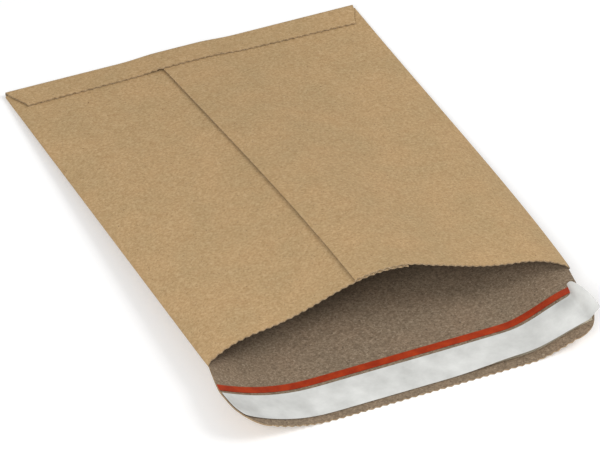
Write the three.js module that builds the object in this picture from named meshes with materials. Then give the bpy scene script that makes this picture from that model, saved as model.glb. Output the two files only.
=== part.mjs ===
// A kraft board mailing envelope: one folded sheet, open and bowed up at the mouth,
// with its closure flap laid forward, inside face up, and the closing strips on it.
//
// The frame is in millimetres. X runs across the pouch, +Y from the mouth to the closed end
// and +Z up. The origin is under the middle of the mouth, on the face that the pouch lies on.

import * as THREE from 'three';

// Board and pouch
const pouchWidth = 250;
const pouchLength = 328;
const wall = 0.8;
const layerGap = 0.5;
const sideFoldRadius = 0.8;

// Side panels, which lap over each other in a long seam off the middle
const seamFromLeft = 103;
const seamOverlap = 37;
const seamRamp = 18;
const panelEndRelief = 1.5;

// Bottom flap, folded over the ends of the side panels
const bottomFlapDepth = 21;
const bottomFlapInset = 7.5;

// Closure flap
const closureDepth = 58.5;
const closureTaper = 1;
const closureCorner = 18;

// Toothed cut along the mouth and both flaps
const toothPitch = 4.9;
const toothDepth = 1.1;

// The open mouth: how far it stands up, and what it does to the side folds
const shoulderRise = 13;
const shoulderPower = 6;
const crownRise = 15;
const crownFromLeft = 125;
const crownHalfWidth = 87;
const throatSetback = 8;
const foldLift = { left: 15.5, right: 12 };
const foldLiftPower = { left: 1, right: 1.7 };
const foldPull = { left: 3, right: 7 };
const foldPullPower = { left: 1, right: 4 };
const closureLift = { left: 16.5, right: 15.5 };
const closureEdgeLift = { left: 20, right: 12 };
const closurePull = { left: -1.5, right: 11.5 };
const closureLiftRun = 25;
const restHalfWidth = { left: 60, right: 71 };

// Closing strips on the closure flap, set back from its toothed edge
const tapeWidth = 5.5;
const tapeThickness = 0.25;
const tapeToLiner = 3.2;
const linerToEdge = 6;
const linerWidth = 25;
const linerThickness = 0.2;
const linerEndCorner = 6;
const linerBendInset = { mouthSide: 10, edgeSide: 9 };
const linerTabReach = { mouthSide: 10, edgeSide: 3 };
const linerBendRadius = 4;
const linerBendDegrees = { mouthSide: 95, edgeSide: 35 };
const linerPeel = { mouthSide: 0.4, edgeSide: 3 };
const linerPeelFrom = 20;
const linerPeelTo = 70;
const adhesiveMargin = 2;
const adhesiveThickness = 0.15;
const stripClearance = 0.25;

// Glue lines between the layers
const glueFilm = 0.2;
const glueEndMargin = 9;
const bottomGlueWidth = 10;

// How finely the surfaces are divided
const columnStep = 9;
const foldSteps = 5;
const bodySteps = 13;
const firstRow = 6;
const flapRowShares = [0.3, 0.6, 0.85];
const cornerRowSteps = 2;
const cornerEdgeSteps = 4;
const stripSteps = 4;
const linerSteps = 8;
const slopeStep = 1;

const frontHalf = pouchWidth / 2 - sideFoldRadius - wall / 2;
const sideFoldRun = Math.PI * sideFoldRadius;
const layerStep = wall + layerGap;
const bottomFoldRadius = sideFoldRadius + layerStep / 2;
const bottomFoldRun = Math.PI * bottomFoldRadius;
const frontLength = pouchLength - bottomFoldRadius - wall / 2;
const closureHalf = frontHalf - closureTaper;
const cornerStart = closureDepth - closureCorner;
const linerFromMouth = closureDepth - linerToEdge - linerWidth;
const tapeFromMouth = linerFromMouth - tapeToLiner - tapeWidth;

const { lerp, clamp, smoothstep, degToRad } = THREE.MathUtils;

function evenly(from, to, steps) {
  return Array.from({ length: steps + 1 }, (_, i) => lerp(from, to, i / steps));
}

// Nearness to the mouth: 0 at the bottom fold, 1 at the mouth line and over the closure flap.
function mouthShare(v) {
  return clamp(1 - v / frontLength, 0, 1);
}

// 0 on the pouch, rising to 1 over the closure flap.
function closureShare(v) {
  return smoothstep(-v, 0, closureLiftRun);
}

function opening(v) {
  const share = mouthShare(v);
  return (share + Math.sin(Math.PI / 2 * share)) / 2;
}

// Height of the bowed back across the pouch, from 0 at the left fold to 1 at the right one.
function archHeight(share) {
  const shoulder = shoulderRise * (1 - Math.abs(2 * share - 1) ** shoulderPower);
  const crown = clamp((share * pouchWidth - crownFromLeft) / crownHalfWidth, -1, 1);
  return shoulder + crownRise * Math.cos(Math.PI / 2 * crown) ** 2;
}

// The front panel rests on its middle. Its left wing bends up more and more towards the fold,
// and its right wing bends up and levels out again.
const wingShape = { left: (reach) => reach ** 2, right: (reach) => smoothstep(reach, 0, 1) };

function wingLift(u, v) {
  const side = u < 0 ? 'left' : 'right';
  const rest = restHalfWidth[side];
  const reach = Math.max((Math.abs(u) - rest) / (frontHalf - rest), 0);
  const pouchLift = foldLift[side] * mouthShare(v) ** foldLiftPower[side];
  const toEdge = smoothstep(-v, closureLiftRun, closureDepth);
  const flapLift = lerp(closureLift[side], closureEdgeLift[side], toEdge);
  return lerp(pouchLift, flapLift, closureShare(v)) * wingShape[side](reach);
}

// How far a side edge of the front is drawn in by the bow of the board.
function edgePull(side, v) {
  const pouchPull = foldPull[side] * mouthShare(v) ** foldPullPower[side];
  return lerp(pouchPull, closurePull[side], closureShare(v));
}

function frontPoint(u, v) {
  const left = edgePull('left', v) - frontHalf;
  const right = frontHalf - edgePull('right', v);
  const x = lerp(left, right, (u + frontHalf) / (2 * frontHalf));
  return new THREE.Vector3(x, v, wall / 2 + wingLift(u, v));
}

// Each side fold turns the board over, by less than half a turn where the mouth stands open.
function sideFold(side, v) {
  const start = frontPoint(side * frontHalf, v);
  const before = frontPoint(side * (frontHalf - slopeStep), v);
  const span = frontPoint(frontHalf, v).x - frontPoint(-frontHalf, v).x;
  const slopeShare = slopeStep / span;
  const endRise = archHeight(side < 0 ? slopeShare : 1 - slopeShare) / slopeStep;
  const inward = Math.atan2(start.z - before.z, Math.abs(start.x - before.x));
  const backward = Math.atan(opening(v) * endRise);
  const centre = start.clone();
  centre.x -= side * sideFoldRadius * Math.sin(inward);
  centre.z += sideFoldRadius * Math.cos(inward);
  return { side, centre, inward, turn: Math.PI - inward - backward };
}

function sideFoldPoint(fold, share) {
  const angle = fold.inward + share * fold.turn;
  const point = fold.centre.clone();
  point.x += fold.side * sideFoldRadius * Math.sin(angle);
  point.z -= sideFoldRadius * Math.cos(angle);
  return point;
}

// The back as one bowed surface, before its layers are counted.
function backPoint(share, v) {
  const left = sideFoldPoint(sideFold(-1, v), 1);
  const right = sideFoldPoint(sideFold(1, v), 1);
  const point = left.lerp(right, share);
  const arch = archHeight(share);
  const setback = throatSetback * mouthShare(v) ** 2;
  point.y = v + setback * arch / (shoulderRise + crownRise);
  point.z += opening(v) * arch;
  return point;
}

// 1 where the outer side panel lies on the inner one, and a ramp beside the lap.
function lapShare(share) {
  const across = share * pouchWidth;
  const rise = smoothstep(across, seamFromLeft - seamRamp, seamFromLeft);
  const lapEnd = seamFromLeft + seamOverlap;
  return rise - smoothstep(across, lapEnd, lapEnd + seamRamp);
}

function panelPoint(side, reach, v) {
  if (side < 0) {
    return backPoint(reach / pouchWidth, v);
  }
  const share = 1 - reach / pouchWidth;
  const point = backPoint(share, v);
  point.z += layerStep * lapShare(share);
  return point;
}

function bottomFlapPoint(u, past) {
  const share = clamp((u + frontHalf) / (2 * frontHalf), 0, 1);
  const front = frontPoint(u, frontLength);
  const reach = Math.max(past - bottomFoldRun, 0);
  const top = backPoint(share, frontLength - reach);
  top.z += layerStep * (1 + lapShare(share));
  if (past > bottomFoldRun) {
    return new THREE.Vector3(front.x, frontLength - reach, top.z);
  }
  const radius = (top.z - front.z) / 2;
  const angle = Math.PI * past / bottomFoldRun;
  front.y += radius * Math.sin(angle);
  front.z += radius * (1 - Math.cos(angle));
  return front;
}

// Where a place (u, v) on the flat blank ends up once the board is folded, at mid thickness.
function boardPoint(u, v) {
  const past = Math.abs(u) - frontHalf;
  const side = Math.sign(u);
  if (v > frontLength) {
    return bottomFlapPoint(u, v - frontLength);
  }
  if (past <= 0 || v < 0) {
    return frontPoint(u, v);
  }
  if (past < sideFoldRun) {
    return sideFoldPoint(sideFold(side, v), past / sideFoldRun);
  }
  return panelPoint(side, past - sideFoldRun, v);
}

function alongLiner(ends, distance) {
  const across = clamp((distance - linerFromMouth) / linerWidth, 0, 1);
  return lerp(ends.mouthSide, ends.edgeSide, across);
}

// The release liner is peeled a little over its right half, and its right end is bent up as
// a tab, more on the side of the mouth than on the side of the flap's edge.
function linerPoint(u, v) {
  const bendStart = closureHalf - alongLiner(linerBendInset, -v);
  const past = Math.max(u - bendStart, 0);
  const start = frontPoint(u - past, v);
  const before = frontPoint(u - past - slopeStep, v);
  const slope = Math.atan2(start.z - before.z, start.x - before.x);
  const bend = Math.min(past / linerBendRadius, degToRad(alongLiner(linerBendDegrees, -v)));
  const straight = past - linerBendRadius * bend;
  const end = slope + bend;
  start.x += linerBendRadius * (Math.sin(end) - Math.sin(slope)) + straight * Math.cos(end);
  start.z += linerBendRadius * (Math.cos(slope) - Math.cos(end)) + straight * Math.sin(end);
  start.z += alongLiner(linerPeel, -v) * smoothstep(u, linerPeelFrom, linerPeelTo);
  return start;
}

function normalAt(surface, u, v) {
  const step = 0.05;
  const alongU = surface(u + step, v).sub(surface(u - step, v));
  const alongV = surface(u, v + step).sub(surface(u, v - step));
  return alongU.cross(alongV).normalize();
}

// Triangles between two rows of blank points, which may differ in their number of points.
function zip(low, high) {
  const faces = [];
  let i = 0;
  let j = 0;
  while (i < low.length - 1 || j < high.length - 1) {
    const highDone = j === high.length - 1;
    const lowLeft = i < low.length - 1;
    if (highDone || (lowLeft && low[i + 1].u <= high[j + 1].u)) {
      faces.push([low[i], low[i + 1], high[j]]);
      i += 1;
    } else {
      faces.push([low[i], high[j + 1], high[j]]);
      j += 1;
    }
  }
  return faces;
}

function zipRows(rows) {
  return rows.slice(1).flatMap((row, i) => zip(rows[i], row));
}

// A closed solid over a triangulated blank, between two distances from a surface.
function layFaces(faces, surface, bottom, top) {
  const points = [...new Set(faces.flat())];
  const indexOf = new Map(points.map((point, i) => [point, i]));
  const positions = [];
  for (const distance of [top, bottom]) {
    for (const { u, v } of points) {
      const place = surface(u, v).addScaledVector(normalAt(surface, u, v), distance);
      positions.push(...place);
    }
  }
  const indices = [];
  const rim = new Map();
  for (const face of faces) {
    const [a, b, c] = face.map((point) => indexOf.get(point));
    indices.push(a, b, c);
    indices.push(a + points.length, c + points.length, b + points.length);
    for (const [from, to] of [[a, b], [b, c], [c, a]]) {
      if (!rim.delete(`${to},${from}`)) {
        rim.set(`${from},${to}`, [from, to]);
      }
    }
  }
  for (const [from, to] of rim.values()) {
    indices.push(to, from, from + points.length);
    indices.push(to, from + points.length, to + points.length);
  }
  const geometry = new THREE.BufferGeometry();
  geometry.setAttribute('position', new THREE.Float32BufferAttribute(positions, 3));
  geometry.setIndex(indices);
  geometry.computeVertexNormals();
  return geometry;
}

function row(us, v) {
  return us.map((u) => ({ u, v }));
}

function toothedRow(from, to, tip, root) {
  const teeth = Math.max(1, Math.round(Math.abs(to - from) / toothPitch));
  return evenly(from, to, 2 * teeth).map((u, i) => ({ u, v: i % 2 ? root : tip }));
}

// Columns across the pouch, which every layer shares, with one wherever the lap changes.
function columnsAcross() {
  const lapEnd = seamFromLeft + seamOverlap;
  const breaks = [0, seamFromLeft - seamRamp, seamFromLeft, lapEnd, lapEnd + seamRamp, pouchWidth];
  const stretches = breaks.slice(1).map((end, i) => {
    const steps = Math.ceil((end - breaks[i]) / columnStep);
    return evenly(breaks[i], end, steps).slice(1);
  });
  return [0, ...stretches.flat()];
}

const columns = columnsAcross();
const frontColumns = columns.map((across) => lerp(-frontHalf, frontHalf, across / pouchWidth));

function sideColumns(side, reach) {
  const fold = evenly(0, sideFoldRun, foldSteps).slice(1);
  const fromFold = side < 0 ? columns : columns.map((across) => pouchWidth - across).reverse();
  const panel = fromFold.filter((across) => across > 0 && across <= reach);
  const runs = [...fold, ...panel.map((across) => across + sideFoldRun)];
  const blankColumns = runs.map((run) => side * (frontHalf + run));
  return side < 0 ? blankColumns.reverse() : blankColumns;
}

// The mouth edge of a side panel, from its fold to its free edge.
function mouthTeeth(side, reach) {
  const fold = evenly(0, sideFoldRun, foldSteps).slice(1, -1);
  const start = side * (frontHalf + sideFoldRun);
  const points = [
    ...row(fold.map((run) => side * (frontHalf + run)), 0),
    ...toothedRow(start, start + side * reach, 0, toothDepth),
  ];
  return side < 0 ? points.reverse() : points;
}

// Half width of the closure flap at a distance from the mouth.
function closureOutline(distance) {
  const intoCorner = clamp((distance - cornerStart) / closureCorner, 0, 1);
  const straight = lerp(frontHalf, closureHalf, Math.min(distance / cornerStart, 1));
  return straight - closureCorner * (1 - Math.sqrt(1 - intoCorner ** 2));
}

function closureRow(distance) {
  const scale = closureOutline(distance) / frontHalf;
  return row(frontColumns.map((u) => u * scale), -distance);
}

function closureRows() {
  const lastTurn = Math.PI / 4;
  const cornerRows = evenly(0, lastTurn, cornerRowSteps).map((turn) => {
    return cornerStart + closureCorner * Math.sin(turn);
  });
  const stripRows = [tapeFromMouth, tapeFromMouth + tapeWidth, linerFromMouth];
  const distances = [...cornerRows.reverse(), ...stripRows.reverse()];
  const cornerTurns = evenly(lastTurn, Math.PI / 2, cornerEdgeSteps).slice(1, -1);
  const cornerPoints = cornerTurns.map((turn) => ({
    u: closureHalf - closureCorner * (1 - Math.cos(turn)),
    v: -cornerStart - closureCorner * Math.sin(turn),
  }));
  const edgeEnd = closureHalf - closureCorner;
  const edge = [
    ...cornerPoints.map(({ u, v }) => ({ u: -u, v })),
    ...toothedRow(-edgeEnd, edgeEnd, -closureDepth, toothDepth - closureDepth),
    ...cornerPoints.reverse(),
  ];
  return [edge, ...distances.map(closureRow)];
}

// The bottom flap narrows in a soft S from the fold to its toothed edge.
function bottomRow(past) {
  const reach = clamp((past - bottomFoldRun) / bottomFlapDepth, 0, 1);
  const scale = 1 - bottomFlapInset * smoothstep(reach, 0, 1) / frontHalf;
  return row(frontColumns.map((u) => u * scale), frontLength + past);
}

function bottomRows() {
  const foldRows = evenly(0, bottomFoldRun, foldSteps).map(bottomRow);
  const flapRows = flapRowShares.map((share) => bottomRow(bottomFoldRun + share * bottomFlapDepth));
  const end = frontLength + bottomFoldRun + bottomFlapDepth;
  const half = frontHalf - bottomFlapInset;
  return [...foldRows, ...flapRows, toothedRow(-half, half, end, end - toothDepth)];
}

function envelopeSheet() {
  const leftReach = seamFromLeft + seamOverlap;
  const rightReach = pouchWidth - seamFromLeft;
  const left = sideColumns(-1, leftReach);
  const right = sideColumns(1, rightReach);
  const blankColumns = [...left, ...frontColumns, ...right];
  const mouthFront = row(frontColumns, 0);
  const mouth = [...mouthTeeth(-1, leftReach), ...mouthFront, ...mouthTeeth(1, rightReach)];
  const lastRow = frontLength - panelEndRelief;
  const body = evenly(firstRow, lastRow, bodySteps).map((v) => row(blankColumns, v));
  const lastFront = body.at(-1).slice(left.length, left.length + frontColumns.length);
  const faces = [
    ...zipRows([...closureRows(), mouthFront]),
    ...zipRows([mouth, ...body]),
    ...zipRows([lastFront, ...bottomRows()]),
  ];
  return layFaces(faces, boardPoint, -wall / 2, wall / 2);
}

// A strip on the closure flap between two distances from the mouth, and its height above it.
function closureStrip(from, to, inset, height, thickness) {
  const scale = 1 - inset / frontHalf;
  const rows = evenly(to, from, stripSteps).map((distance) => {
    return closureRow(distance).map(({ u, v }) => ({ u: u * scale, v }));
  });
  const bottom = wall / 2 + height;
  return layFaces(zipRows(rows), frontPoint, bottom, bottom + thickness);
}

function tearTape() {
  return closureStrip(tapeFromMouth, tapeFromMouth + tapeWidth, 0, stripClearance, tapeThickness);
}

function sealAdhesive() {
  const from = linerFromMouth + adhesiveMargin;
  const to = linerFromMouth + linerWidth - adhesiveMargin;
  return closureStrip(from, to, adhesiveMargin, stripClearance, adhesiveThickness);
}

// The release liner is cut with the flap at its left end and rounded at its right end.
function releaseLiner() {
  const rows = evenly(linerFromMouth + linerWidth, linerFromMouth, linerSteps).map((distance) => {
    const intoCorner = clamp(1 - (distance - linerFromMouth) / linerEndCorner, 0, 1);
    const rounding = linerEndCorner * (1 - Math.sqrt(1 - intoCorner ** 2));
    const bendStart = closureHalf - alongLiner(linerBendInset, distance);
    const end = closureHalf + alongLiner(linerTabReach, distance) - rounding;
    const tab = evenly(bendStart, end, linerSteps);
    const flat = closureRow(distance).filter(({ u }) => u < bendStart - linerBendRadius / 2);
    return [...flat, ...row(tab, -distance)];
  });
  const bottom = wall / 2 + stripClearance + adhesiveThickness + stripClearance;
  return layFaces(zipRows(rows), linerPoint, bottom, bottom + linerThickness);
}

function seamGlue() {
  const lapEnd = seamFromLeft + seamOverlap;
  const inLap = columns.filter((across) => across > seamFromLeft && across < lapEnd);
  const glued = inLap.map((across) => -(frontHalf + sideFoldRun + across)).reverse();
  const from = firstRow + glueEndMargin;
  const rows = evenly(from, frontLength - bottomFlapDepth, bodySteps).map((v) => row(glued, v));
  const middle = (u, v) => {
    const point = boardPoint(u, v);
    point.z += layerStep / 2;
    return point;
  };
  return layFaces(zipRows(rows), middle, -glueFilm / 2, glueFilm / 2);
}

function bottomGlue() {
  const middle = bottomFoldRun + bottomFlapDepth / 2;
  const runs = [middle - bottomGlueWidth / 2, middle, middle + bottomGlueWidth / 2];
  const rows = runs.map(bottomRow);
  const half = frontHalf - bottomFlapInset - glueEndMargin;
  const inset = rows.map((points) => points.filter(({ u }) => Math.abs(u) < half));
  const under = (u, v) => {
    const point = boardPoint(u, v);
    point.z -= layerStep / 2;
    return point;
  };
  return layFaces(zipRows(inset), under, -glueFilm / 2, glueFilm / 2);
}

function kraftBoard() {
  return new THREE.MeshStandardMaterial({ color: 0xb8966b, roughness: 0.85, metalness: 0 });
}

function redTape() {
  return new THREE.MeshStandardMaterial({ color: 0xa83a1c, roughness: 0.45, metalness: 0 });
}

function clearAdhesive() {
  return new THREE.MeshStandardMaterial({ color: 0xd8d2bf, roughness: 0.4, metalness: 0 });
}

function siliconePaper() {
  return new THREE.MeshStandardMaterial({ color: 0xe6e8ea, roughness: 0.35, metalness: 0 });
}

function paperGlue() {
  return new THREE.MeshStandardMaterial({ color: 0xc9b48a, roughness: 0.6, metalness: 0 });
}

const envelope = new THREE.Group();

function addPiece(name, geometry, material) {
  const mesh = new THREE.Mesh(geometry, material);
  mesh.name = name;
  envelope.add(mesh);
}

addPiece('envelope_sheet', envelopeSheet(), kraftBoard());
addPiece('tear_tape', tearTape(), redTape());
addPiece('seal_adhesive', sealAdhesive(), clearAdhesive());
addPiece('release_liner', releaseLiner(), siliconePaper());
addPiece('seam_glue_line', seamGlue(), paperGlue());
addPiece('bottom_glue_line', bottomGlue(), paperGlue());

export default envelope;
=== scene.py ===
"""Kraft board mailing envelope: one folded sheet with an open, bowed mouth, and the closing
strips on its closure flap. Metres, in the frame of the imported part."""

from math import cos, radians, sin

import bpy
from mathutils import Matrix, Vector


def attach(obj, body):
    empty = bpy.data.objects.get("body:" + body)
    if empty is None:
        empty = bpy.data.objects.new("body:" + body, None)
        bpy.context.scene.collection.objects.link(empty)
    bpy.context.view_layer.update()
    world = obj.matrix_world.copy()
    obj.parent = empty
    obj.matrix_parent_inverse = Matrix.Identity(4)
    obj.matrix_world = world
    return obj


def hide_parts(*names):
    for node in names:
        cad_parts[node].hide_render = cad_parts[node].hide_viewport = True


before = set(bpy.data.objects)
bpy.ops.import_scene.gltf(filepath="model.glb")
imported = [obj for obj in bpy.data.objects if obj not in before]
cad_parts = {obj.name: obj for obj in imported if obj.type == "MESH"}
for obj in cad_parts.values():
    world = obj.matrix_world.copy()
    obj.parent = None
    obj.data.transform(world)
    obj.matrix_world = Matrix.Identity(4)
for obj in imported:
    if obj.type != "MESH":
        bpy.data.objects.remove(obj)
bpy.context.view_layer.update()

# Envelope sheet
# One piece of recycled kraft board, 0.8 mm thick, brown outside and greyer inside, folded
# along both sides and the bottom, with a toothed cut along the mouth and both flaps.
board_thickness = 0.0008
teeth_from = 0.0005
teeth_to = 0.012
closure_flap_middle = Vector((0, -0.04, board_thickness))
front_panel_middle = Vector((0, 0.1, 0))


def select_only(piece):
    """Selects one piece and nothing else."""
    bpy.ops.object.select_all(action="DESELECT")
    piece.select_set(True)
    bpy.context.view_layer.objects.active = piece


def joined_copy(node, name):
    """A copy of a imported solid, with its faces joined."""
    piece = bpy.data.objects.new(name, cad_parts[node].data.copy())
    bpy.context.collection.objects.link(piece)
    piece.data.materials.clear()
    select_only(piece)
    bpy.ops.object.mode_set(mode="EDIT")
    bpy.ops.mesh.select_all(action="SELECT")
    bpy.ops.mesh.remove_doubles(threshold=0.00002)
    bpy.ops.object.mode_set(mode="OBJECT")
    return piece


def square_teeth(sheet, thickness, start, end):
    """Stands the sheet's thickness upright where it leans over at the tips of the teeth."""
    same_length = 0.000002
    points = sheet.data.vertices
    facing_up = [0.0] * len(points)
    for face in sheet.data.polygons:
        for i in face.vertices:
            facing_up[i] += face.area * face.normal.z
    leaning = []
    upright = []
    for edge in sheet.data.edges:
        ends = (points[i] for i in edge.vertices)
        inner, outer = sorted(ends, key=lambda point: facing_up[point.index])
        across = outer.co - inner.co
        middle = (outer.co + inner.co) / 2
        if abs(across.length - thickness) < same_length and start < middle.y < end:
            if abs(across.y) > thickness / 2:
                leaning.append((outer, inner, middle))
            else:
                upright.append((middle, across))
    for outer, inner, middle in leaning:
        _, across = min(upright, key=lambda neighbour: (neighbour[0] - middle).length)
        outer.co = middle + across / 2
        inner.co = middle - across / 2


def crisp_quads(piece, crease_angle):
    """Joins a sheet's triangles into quads, without slivers, and keeps its cut edges crisp."""
    select_only(piece)
    bpy.ops.object.mode_set(mode="EDIT")
    bpy.ops.mesh.select_all(action="SELECT")
    bpy.ops.mesh.dissolve_degenerate(threshold=0.0001)
    bpy.ops.mesh.tris_convert_to_quads(face_threshold=radians(15), shape_threshold=radians(35))
    bpy.ops.mesh.select_mode(type="EDGE")
    bpy.ops.mesh.select_all(action="DESELECT")
    bpy.ops.mesh.edges_select_sharp(sharpness=radians(crease_angle))
    bpy.ops.transform.edge_crease(value=1)
    bpy.ops.mesh.select_all(action="DESELECT")
    bpy.ops.object.mode_set(mode="OBJECT")


def coat_side(sheet, middle, upward, slot):
    """Gives one side of the sheet, found by a place on it, the material in a slot."""
    facing = (face for face in sheet.data.polygons if face.normal.z * upward > 0.9)
    seed = min(facing, key=lambda face: (face.center - middle).length).index
    bpy.ops.object.mode_set(mode="EDIT")
    bpy.ops.mesh.select_mode(type="FACE")
    bpy.ops.mesh.select_all(action="DESELECT")
    bpy.ops.object.mode_set(mode="OBJECT")
    sheet.data.polygons[seed].select = True
    bpy.ops.object.mode_set(mode="EDIT")
    bpy.ops.mesh.faces_select_linked_flat(sharpness=radians(42))
    sheet.active_material_index = slot
    bpy.ops.object.material_slot_assign()
    bpy.ops.object.mode_set(mode="OBJECT")


def smooth_surface(piece):
    """Rounds the facets of a bent sheet and leaves its cut edges sharp."""
    select_only(piece)
    fine_shape = piece.modifiers.new("fine shape", "SUBSURF")
    fine_shape.levels = 2
    fine_shape.render_levels = 2
    bpy.ops.object.shade_smooth_by_angle(angle=radians(40))


def start_finish(name, roughness, shine=0.5):
    """A new material, with the roughness and shine of its surface, and its shader."""
    material = bpy.data.materials.new(name)
    material.use_nodes = True
    shader = material.node_tree.nodes["Principled BSDF"]
    shader.inputs["Roughness"].default_value = roughness
    shader.inputs["Specular IOR Level"].default_value = shine
    return material, shader


def spots(material, scale, detail, roughness=0.5):
    """Uneven spots, about one over the scale in metres wide, from 0 to 1."""
    place = material.node_tree.nodes.new("ShaderNodeTexCoord")
    noise = material.node_tree.nodes.new("ShaderNodeTexNoise")
    noise.inputs["Scale"].default_value = scale
    noise.inputs["Detail"].default_value = detail
    noise.inputs["Roughness"].default_value = roughness
    material.node_tree.links.new(place.outputs["Object"], noise.inputs["Vector"])
    return noise.outputs["Fac"]


def tones(material, amount, start, dark, end, light):
    """A ramp of colours over an amount, from the dark one to the light one."""
    ramp = material.node_tree.nodes.new("ShaderNodeValToRGB")
    ramp.color_ramp.elements[0].position = start
    ramp.color_ramp.elements[0].color = (*dark, 1)
    ramp.color_ramp.elements[1].position = end
    ramp.color_ramp.elements[1].color = (*light, 1)
    material.node_tree.links.new(amount, ramp.inputs["Fac"])
    return ramp


def relief(material, shader, height, strength, depth):
    """Raises the surface by a pattern, on top of any relief that the shader has already."""
    links = material.node_tree.links
    bump = material.node_tree.nodes.new("ShaderNodeBump")
    bump.inputs["Strength"].default_value = strength
    bump.inputs["Distance"].default_value = depth
    links.new(height, bump.inputs["Height"])
    if shader.inputs["Normal"].is_linked:
        links.new(shader.inputs["Normal"].links[0].from_socket, bump.inputs["Normal"])
    links.new(bump.outputs["Normal"], shader.inputs["Normal"])


def kraft_fibres(material, colour, scale, turn, threshold, softness, tint, strength):
    """Lays one kind of pressed fibre, speck or stain over a colour, and returns the new one."""
    nodes = material.node_tree.nodes
    links = material.node_tree.links
    place = nodes.new("ShaderNodeTexCoord")
    stretch = nodes.new("ShaderNodeMapping")
    stretch.inputs["Rotation"].default_value = (0, 0, radians(turn))
    stretch.inputs["Scale"].default_value = scale
    strands = nodes.new("ShaderNodeTexNoise")
    strands.inputs["Scale"].default_value = 1
    strands.inputs["Detail"].default_value = 3
    strands.inputs["Distortion"].default_value = 0.8
    mask = nodes.new("ShaderNodeMapRange")
    mask.inputs["From Min"].default_value = threshold
    mask.inputs["From Max"].default_value = threshold + softness
    mask.inputs["To Max"].default_value = strength
    layer = nodes.new("ShaderNodeMix")
    layer.data_type = "RGBA"
    layer.inputs["B"].default_value = (*tint, 1)
    links.new(place.outputs["Object"], stretch.inputs["Vector"])
    links.new(stretch.outputs["Vector"], strands.inputs["Vector"])
    links.new(strands.outputs["Fac"], mask.inputs["Value"])
    links.new(mask.outputs["Result"], layer.inputs["Factor"])
    links.new(colour, layer.inputs["A"])
    return layer.outputs["Result"]


def kraft_paper(name, dark, middle, light, roughness, fibres):
    """Pressed brown pulp: fine grain, slow changes of tone, and fibres lying over it."""
    material, shader = start_finish(name, roughness, shine=0.25)
    nodes = material.node_tree.nodes
    links = material.node_tree.links
    grain = spots(material, scale=620, detail=5, roughness=0.65)
    pulp = tones(material, grain, 0.34, dark, 0.66, light)
    pulp.color_ramp.elements.new(0.5).color = (*middle, 1)
    cloud = spots(material, scale=34, detail=4)
    cloud_tone = tones(material, cloud, 0.32, (0.9, 0.915, 0.92), 0.68, (1, 0.965, 0.955))
    toned = nodes.new("ShaderNodeVectorMath")
    toned.operation = "MULTIPLY"
    links.new(pulp.outputs["Color"], toned.inputs[0])
    links.new(cloud_tone.outputs["Color"], toned.inputs[1])
    colour = toned.outputs["Vector"]
    for fibre in fibres:
        colour = kraft_fibres(material, colour, *fibre)
    links.new(colour, shader.inputs["Base Color"])
    relief(material, shader, grain, strength=0.35, depth=0.0001)
    sway = spots(material, scale=22, detail=1)
    relief(material, shader, sway, strength=0.6, depth=0.0006)
    return material


board = joined_copy("envelope_sheet", "kraft_board")
square_teeth(board, board_thickness, teeth_from, teeth_to)
crisp_quads(board, crease_angle=45)
# Each kind of fibre: spots per metre along X, Y and Z, turn, threshold, softness, tint, strength
outside_fibres = (
    ((150, 190, 170), 0, 0.5, 0.2, (0.38, 0.225, 0.1), 0.3),
    ((320, 3000, 3000), 20, 0.56, 0.08, (0.34, 0.215, 0.1), 0.35),
    ((340, 2800, 2800), 78, 0.57, 0.08, (0.66, 0.5, 0.31), 0.35),
    ((300, 2600, 2600), -35, 0.57, 0.08, (0.37, 0.235, 0.11), 0.3),
    ((1000, 1100, 1050), 0, 0.66, 0.03, (0.17, 0.1, 0.05), 0.75),
)
inside_fibres = (
    ((400, 2800, 2800), 20, 0.54, 0.08, (0.1, 0.07, 0.048), 0.45),
    ((420, 2600, 2600), 78, 0.55, 0.08, (0.42, 0.33, 0.235), 0.45),
    ((900, 1000, 950), 0, 0.62, 0.04, (0.06, 0.042, 0.03), 0.7),
    ((950, 900, 1000), 45, 0.63, 0.04, (0.48, 0.385, 0.28), 0.6),
)
cut_edge = kraft_paper(
    "kraft cut edge",
    dark=(0.29, 0.2, 0.11),
    middle=(0.38, 0.27, 0.155),
    light=(0.48, 0.355, 0.215),
    roughness=0.95,
    fibres=inside_fibres,
)
inside = kraft_paper(
    "kraft inside",
    dark=(0.16, 0.115, 0.074),
    middle=(0.235, 0.172, 0.112),
    light=(0.33, 0.253, 0.173),
    roughness=0.9,
    fibres=inside_fibres,
)
outside = kraft_paper(
    "kraft outside",
    dark=(0.41, 0.268, 0.125),
    middle=(0.495, 0.335, 0.165),
    light=(0.585, 0.415, 0.225),
    roughness=0.82,
    fibres=outside_fibres,
)
for paper in (cut_edge, inside, outside):
    board.data.materials.append(paper)
coat_side(board, closure_flap_middle, upward=1, slot=1)
coat_side(board, front_panel_middle, upward=-1, slot=2)
smooth_surface(board)
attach(board, "root")
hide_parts("envelope_sheet")

# Tear tape
# A narrow red strip of woven-looking film glued across the closure flap, which rips the
# flap open. Its weave shows as fine threads along it.
tape = joined_copy("tear_tape", "red_tear_tape")
crisp_quads(tape, crease_angle=45)
red_film, shader = start_finish("red tear tape", roughness=0.5, shine=0.3)
nodes = red_film.node_tree.nodes
links = red_film.node_tree.links
place = nodes.new("ShaderNodeTexCoord")
threads = nodes.new("ShaderNodeTexWave")
threads.bands_direction = "Y"
threads.inputs["Scale"].default_value = 620
threads.inputs["Distortion"].default_value = 0.6
threads.inputs["Detail"].default_value = 2
links.new(place.outputs["Object"], threads.inputs["Vector"])
worn_threads = nodes.new("ShaderNodeMix")
worn_threads.inputs["Factor"].default_value = 0.3
links.new(spots(red_film, scale=160, detail=5), worn_threads.inputs["A"])
links.new(threads.outputs["Fac"], worn_threads.inputs["B"])
film_colour = tones(
    red_film, worn_threads.outputs["Result"], 0.25, (0.24, 0.016, 0.004), 0.7, (0.46, 0.05, 0.008)
)
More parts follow.
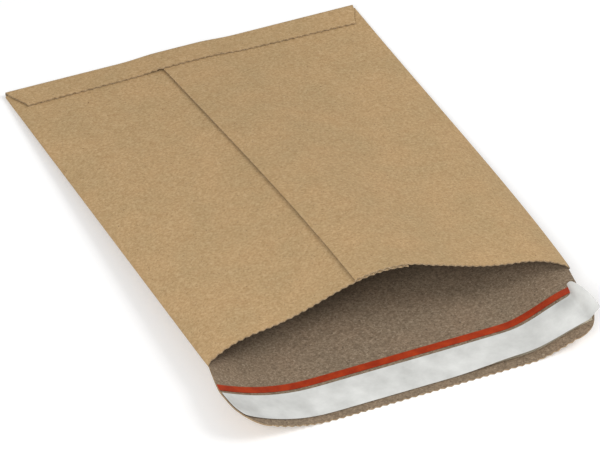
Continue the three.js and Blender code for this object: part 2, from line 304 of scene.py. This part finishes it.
links.new(film_colour.outputs["Color"], shader.inputs["Base Color"])
relief(red_film, shader, threads.outputs["Fac"], strength=0.3, depth=0.0001)
tape.data.materials.append(red_film)
smooth_surface(tape)
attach(tape, "root")
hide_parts("tear_tape")

# Sealing adhesive
# The band of clear glue under the liner, a little narrower than it, which closes the flap
# once the liner is off.


def spotted_finish(name, roughness, spotting, start, dark, end, light, raised=0, height=0):
    """An uneven finish, whose spots change its colour and may also raise its surface."""
    material, shader = start_finish(name, roughness)
    amount = spots(material, *spotting)
    colour = tones(material, amount, start, dark, end, light)
    material.node_tree.links.new(colour.outputs["Color"], shader.inputs["Base Color"])
    if raised:
        relief(material, shader, amount, raised, height)
    return material


glue_band = joined_copy("seal_adhesive", "sealing_glue")
crisp_quads(glue_band, crease_angle=45)
ripple_scale = 240
ripple_detail = 4
clear_glue = spotted_finish(
    "sealing glue",
    roughness=0.3,
    spotting=(ripple_scale, ripple_detail),
    start=0.3,
    dark=(0.42, 0.36, 0.26),
    end=0.7,
    light=(0.6, 0.54, 0.42),
    raised=0.4,
    height=0.0001,
)
glue_band.data.materials.append(clear_glue)
smooth_surface(glue_band)
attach(glue_band, "root")
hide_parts("seal_adhesive")

# Release liner
# White siliconed paper over the adhesive. Its right half has come up a little, and its right
# end is bent up as the tab that is pulled to peel it.
liner = joined_copy("release_liner", "white_liner")
crisp_quads(liner, crease_angle=60)
cloud_scale = 60
cloud_detail = 6
cloud_roughness = 0.6
siliconed_paper = spotted_finish(
    "siliconed paper",
    roughness=0.42,
    spotting=(cloud_scale, cloud_detail, cloud_roughness),
    start=0.3,
    dark=(0.56, 0.563, 0.54),
    end=0.7,
    light=(0.77, 0.775, 0.75),
    raised=0.5,
    height=0.0003,
)
liner.data.materials.append(siliconed_paper)
smooth_surface(liner)
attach(liner, "root")
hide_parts("release_liner")

# Glue lines
# Dried paper glue between the lapped side panels and under the bottom flap. The packed
# solids are right as they are and take this finish.
bead_scale = 180
bead_detail = 2
dried_glue = spotted_finish(
    "dried paper glue",
    roughness=0.55,
    spotting=(bead_scale, bead_detail),
    start=0,
    dark=(0.42, 0.33, 0.19),
    end=1,
    light=(0.62, 0.52, 0.33),
)
for name in ("seam_glue_line", "bottom_glue_line"):
    glue_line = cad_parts[name]
    glue_line.data.materials.clear()
    glue_line.data.materials.append(dried_glue)

# Floor
# A plain pale table that keeps the envelope's shadow. It glows a little, only to the camera
# and in what mirrors or shows it, so that it looks white.
floor_width = 12
floor_drop = 0.0002
floor_glow = 0.2
bpy.ops.mesh.primitive_plane_add(size=floor_width, location=(0, 0, -floor_drop))
floor = bpy.context.object
floor.name = "floor"
pale, shader = start_finish("pale floor", roughness=0.9)
nodes = pale.node_tree.nodes
links = pale.node_tree.links
shader.inputs["Base Color"].default_value = (0.85, 0.85, 0.85, 1)
shader.inputs["Emission Color"].default_value = (1, 1, 1, 1)
rays = nodes.new("ShaderNodeLightPath")
seen = rays.outputs["Is Camera Ray"]
for ray in ("Is Glossy Ray", "Is Transmission Ray"):
    either = nodes.new("ShaderNodeMath")
    either.operation = "MAXIMUM"
    links.new(seen, either.inputs[0])
    links.new(rays.outputs[ray], either.inputs[1])
    seen = either.outputs["Value"]
glow = nodes.new("ShaderNodeMath")
glow.operation = "MULTIPLY"
glow.inputs[1].default_value = floor_glow
links.new(seen, glow.inputs[0])
links.new(glow.outputs["Value"], shader.inputs["Emission Strength"])
floor.data.materials.append(pale)

# Light
# A soft overhead room light, a wide lamp from the front left that reaches into the mouth,
# and a weaker one from the right.
room_strength = 0.45
lamp_width = 1.3
front_left_lamp = ((-1.5, -1.6, 1.5), 43)
right_lamp = ((1.6, -0.7, 1.7), 29)
lit_place = Vector((0, 0.1, 0))
world = bpy.data.worlds.new("soft room")
world.use_nodes = True
background = world.node_tree.nodes["Background"]
background.inputs["Color"].default_value = (1, 1, 1, 1)
background.inputs["Strength"].default_value = room_strength
bpy.context.scene.world = world
for place, energy in (front_left_lamp, right_lamp):
    aim = (lit_place - Vector(place)).to_track_quat("-Z", "Y").to_euler()
    bpy.ops.object.light_add(type="AREA", location=place, rotation=aim)
    lamp = bpy.context.object
    lamp.data.size = lamp_width
    lamp.data.energy = energy

# Camera
# The viewing angle of the photograph: from the front left, looking down on the open mouth.
view_turn = radians(-24.28)
view_rise = radians(37.04)
view_distance = 2.484
looked_at = Vector((-0.0067, 0.1227, 0))
way_out = Vector(
    (sin(view_turn) * cos(view_rise), -cos(view_turn) * cos(view_rise), sin(view_rise))
)
bpy.ops.object.camera_add(
    location=looked_at + view_distance * way_out, rotation=(radians(90) - view_rise, 0, view_turn)
)
camera = bpy.context.object
camera.data.lens = 240
camera.data.sensor_width = 36
camera.data.clip_end = 20
bpy.context.scene.camera = camera
bpy.context.scene.view_settings.view_transform = "Standard"
